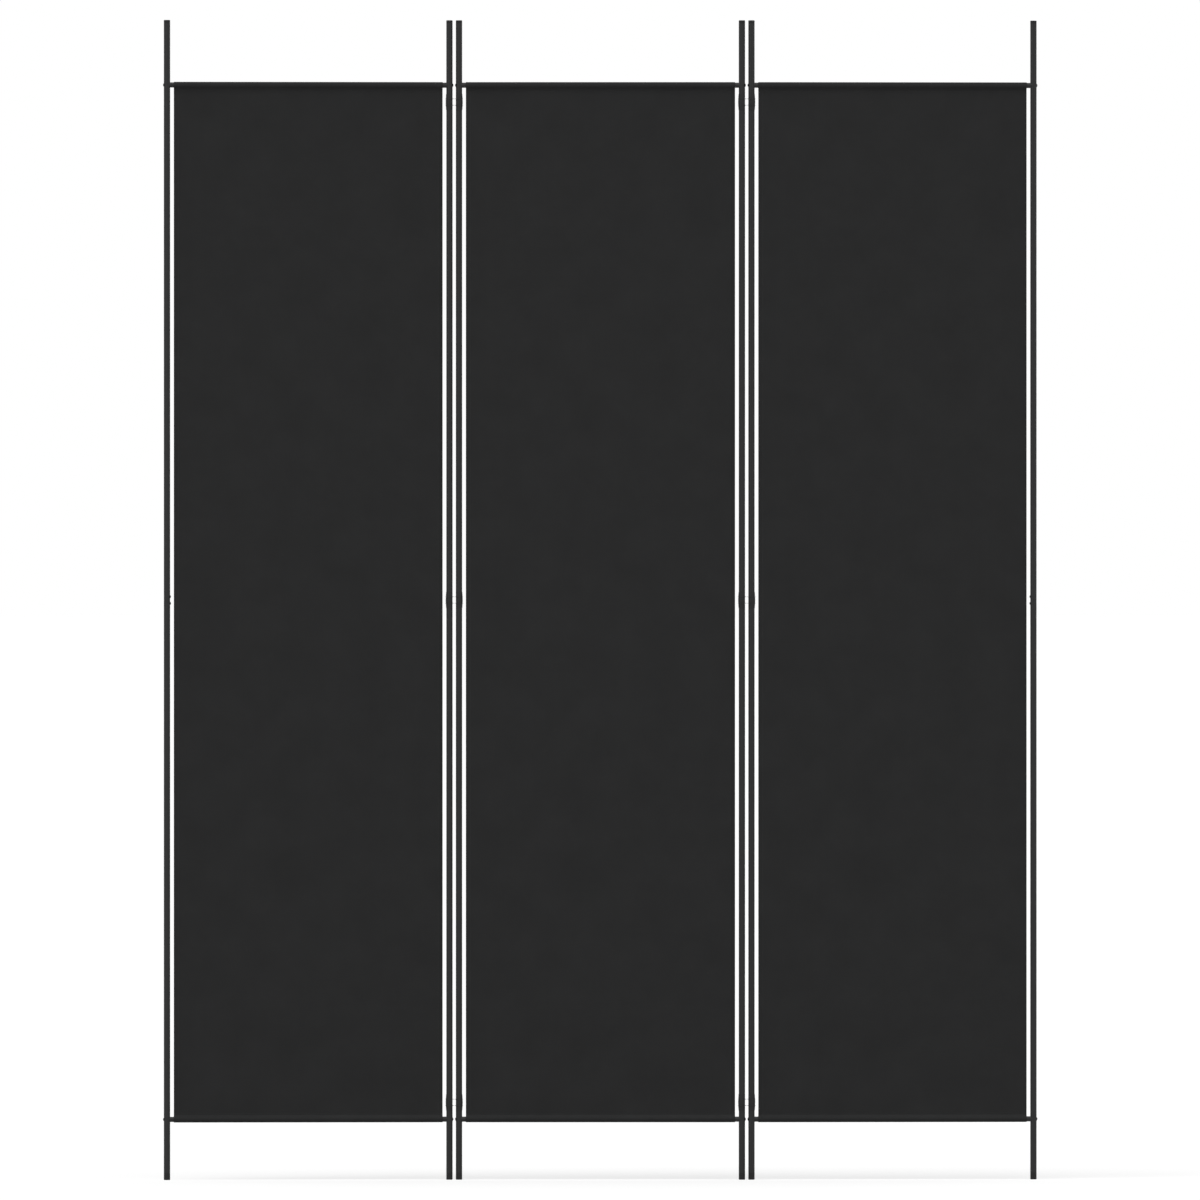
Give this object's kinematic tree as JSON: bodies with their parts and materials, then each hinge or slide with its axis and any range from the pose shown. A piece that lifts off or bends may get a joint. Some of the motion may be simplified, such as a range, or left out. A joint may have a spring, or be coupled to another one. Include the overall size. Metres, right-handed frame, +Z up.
{
  "type": "folding room divider screen",
  "caption": "Folding room divider: slim black tube frames with black fabric stretched between rails, side by side on link hinges so that they fold flat in a Z.",
  "frame": {"origin": "on the floor, at the middle of the middle panel", "axes": "+X along the middle panel to the viewer's right, -Y towards the viewer, +Z up"},
  "size_m": [1.5082, 0.0802, 2],
  "materials": {
    "frame_tube": "satin",
    "fabric": "matte",
    "plug_plastic": "matte",
    "clip_plastic": "satin",
    "black_screw": "satin",
    "zinc_link": "satin",
    "inner_steel": "satin"
  },
  "bodies": {
    "middle_panel": {"middle_panel_bottom_rail": "frame_tube", "middle_panel_fabric": "fabric", "middle_panel_foot_plugs": "plug_plastic", "middle_panel_left_bottom_hinge_clips": "clip_plastic", "middle_panel_left_middle_hinge_clips": "clip_plastic", "middle_panel_left_post_lower": "frame_tube", "middle_panel_left_post_upper": "frame_tube", "middle_panel_left_top_hinge_clips": "clip_plastic", "middle_panel_post_couplers": "inner_steel", "middle_panel_rail_inserts": "black_screw", "middle_panel_rail_screws": "black_screw", "middle_panel_right_bottom_hinge_clips": "clip_plastic", "middle_panel_right_middle_hinge_clips": "clip_plastic", "middle_panel_right_post_lower": "frame_tube", "middle_panel_right_post_upper": "frame_tube", "middle_panel_right_top_hinge_clips": "clip_plastic", "middle_panel_top_plugs": "plug_plastic", "middle_panel_top_rail": "frame_tube"},
    "left_links": {"left_hinge_bottom_links": "zinc_link", "left_hinge_middle_links": "zinc_link", "left_hinge_top_links": "zinc_link"},
    "left_panel": {"left_panel_bottom_rail": "frame_tube", "left_panel_coupler_screws": "black_screw", "left_panel_fabric": "fabric", "left_panel_foot_plugs": "plug_plastic", "left_panel_inner_bottom_hinge_clips": "clip_plastic", "left_panel_inner_middle_hinge_clips": "clip_plastic", "left_panel_inner_post_lower": "frame_tube", "left_panel_inner_post_upper": "frame_tube", "left_panel_inner_top_hinge_clips": "clip_plastic", "left_panel_outer_post_lower": "frame_tube", "left_panel_outer_post_upper": "frame_tube", "left_panel_post_couplers": "inner_steel", "left_panel_rail_inserts": "black_screw", "left_panel_rail_screws": "black_screw", "left_panel_top_plugs": "plug_plastic", "left_panel_top_rail": "frame_tube"},
    "right_links": {"right_hinge_bottom_links": "zinc_link", "right_hinge_middle_links": "zinc_link", "right_hinge_top_links": "zinc_link"},
    "right_panel": {"right_panel_bottom_rail": "frame_tube", "right_panel_coupler_screws": "black_screw", "right_panel_fabric": "fabric", "right_panel_foot_plugs": "plug_plastic", "right_panel_inner_bottom_hinge_clips": "clip_plastic", "right_panel_inner_middle_hinge_clips": "clip_plastic", "right_panel_inner_post_lower": "frame_tube", "right_panel_inner_post_upper": "frame_tube", "right_panel_inner_top_hinge_clips": "clip_plastic", "right_panel_outer_post_lower": "frame_tube", "right_panel_outer_post_upper": "frame_tube", "right_panel_post_couplers": "inner_steel", "right_panel_rail_inserts": "black_screw", "right_panel_rail_screws": "black_screw", "right_panel_top_plugs": "plug_plastic", "right_panel_top_rail": "frame_tube"}
  },
  "joints": [
    {"name": "left_link_turn", "type": "hinge", "parent": "middle_panel", "child": "left_links", "pos_m": [-0.244, 0, 1], "axis": [0, 0, 1], "range_deg": [-32, 88]},
    {"name": "left_panel_turn", "type": "hinge", "parent": "left_links", "child": "left_panel", "pos_m": [-0.26049, -0.00058, 1], "axis": [0, 0, 1], "range_deg": [-32, 88]},
    {"name": "right_link_turn", "type": "hinge", "parent": "middle_panel", "child": "right_links", "pos_m": [0.244, 0, 1], "axis": [0, 0, 1], "range_deg": [-32, 88]},
    {"name": "right_panel_turn", "type": "hinge", "parent": "right_links", "child": "right_panel", "pos_m": [0.26049, 0.00058, 1], "axis": [0, 0, 1], "range_deg": [-32, 88]}
  ]
}
